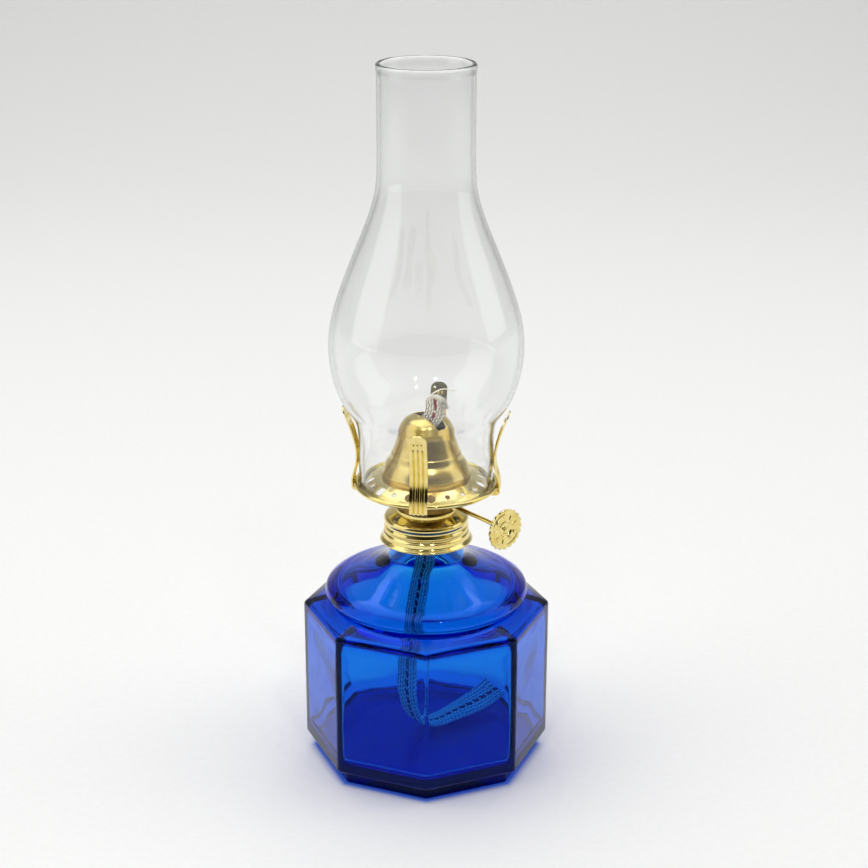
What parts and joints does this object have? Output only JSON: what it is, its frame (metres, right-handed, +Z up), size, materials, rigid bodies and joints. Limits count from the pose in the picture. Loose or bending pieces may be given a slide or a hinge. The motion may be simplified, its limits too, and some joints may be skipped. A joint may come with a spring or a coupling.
{
  "type": "oil lamp",
  "caption": "Flat-wick oil lamp: octagonal glass font, screw-on brass burner with winder, sprung prongs and a bulbous glass chimney.",
  "frame": {"origin": "centre of the font's underside, on the lamp's axis at floor level", "axes": "+Z up along the lamp's axis; +Y away from the viewer; a corner of the octagonal font points along -Y"},
  "size_m": [0.1158, 0.1158, 0.33],
  "materials": {
    "blue_glass": "pressed cobalt blue glass, glossy",
    "clear_glass": "clear blown glass, glossy",
    "burner_brass": "bright brass plate",
    "wheel_steel": "stamped steel",
    "gasket_rubber": "matt",
    "wick_cotton": "woven cotton, flat webbing with a red tracer"
  },
  "bodies": {
    "font": {"font": "blue_glass"},
    "seal": {"cap_gasket": "gasket_rubber"},
    "burner": {"screw_cap": "burner_brass", "burner_base": "burner_brass", "base_plate": "burner_brass", "burner_throat": "burner_brass", "gallery": "burner_brass", "deflector": "burner_brass", "wick_tube": "burner_brass", "shaft_bush_near": "burner_brass", "shaft_bush_far": "burner_brass", "wick_tail": "wick_cotton"},
    "winder": {"winder_shaft": "burner_brass", "winder_knob": "burner_brass", "feed_wheel_near": "wheel_steel", "feed_wheel_far": "wheel_steel"},
    "wick": {"wick": "wick_cotton"},
    "chimney": {"chimney": "clear_glass"},
    "prong_front": {"prong_front": "burner_brass"},
    "prong_right": {"prong_right": "burner_brass"},
    "prong_back": {"prong_back": "burner_brass"},
    "prong_left": {"prong_left": "burner_brass"}
  },
  "joints": [
    {"name": "burner_lift", "type": "slide", "parent": "font", "child": "seal", "axis": [0, 0, 1], "range_m": [0, 0.0059]},
    {"name": "burner_unscrew", "type": "hinge", "parent": "seal", "child": "burner", "pos_m": [0, 0, 0.1154], "axis": [0, 0, 1], "range_deg": [0, 540]},
    {"name": "winder_turn", "type": "hinge", "parent": "burner", "child": "winder", "pos_m": [0.0049, 0.00396, 0.1272], "axis": [0.628, -0.7782, 0], "range_deg": [-117, 234]},
    {"name": "wick_lift", "type": "slide", "parent": "burner", "child": "wick", "axis": [0, 0, 1], "range_m": [-0.02, 0.01], "deforming": ["wick_tail"]},
    {"name": "chimney_lift", "type": "slide", "parent": "burner", "child": "chimney", "axis": [0, 0, 1], "range_m": [0, 0.08]},
    {"name": "prong_front_flex", "type": "hinge", "parent": "burner", "child": "prong_front", "pos_m": [-0.00344, -0.03222, 0.137], "axis": [0.9943, -0.1063, 0], "range_deg": [0, 3], "stiffness_Nm_per_rad": 0.08},
    {"name": "prong_right_flex", "type": "hinge", "parent": "burner", "child": "prong_right", "pos_m": [0.03222, -0.00344, 0.137], "axis": [0.1063, 0.9943, 0], "range_deg": [0, 3], "stiffness_Nm_per_rad": 0.08},
    {"name": "prong_back_flex", "type": "hinge", "parent": "burner", "child": "prong_back", "pos_m": [0.00551, 0.03193, 0.137], "axis": [-0.9854, 0.1702, 0], "range_deg": [0, 3], "stiffness_Nm_per_rad": 0.08},
    {"name": "prong_left_flex", "type": "hinge", "parent": "burner", "child": "prong_left", "pos_m": [-0.03222, 0.00344, 0.137], "axis": [-0.1063, -0.9943, 0], "range_deg": [0, 3], "stiffness_Nm_per_rad": 0.08}
  ],
  "couplings": [
    {"joint": "burner_lift", "follows": "burner_unscrew", "m_per_rad": 0.0006207},
    {"joint": "winder_turn", "follows": "wick_lift", "rad_per_m": -204.08}
  ]
}
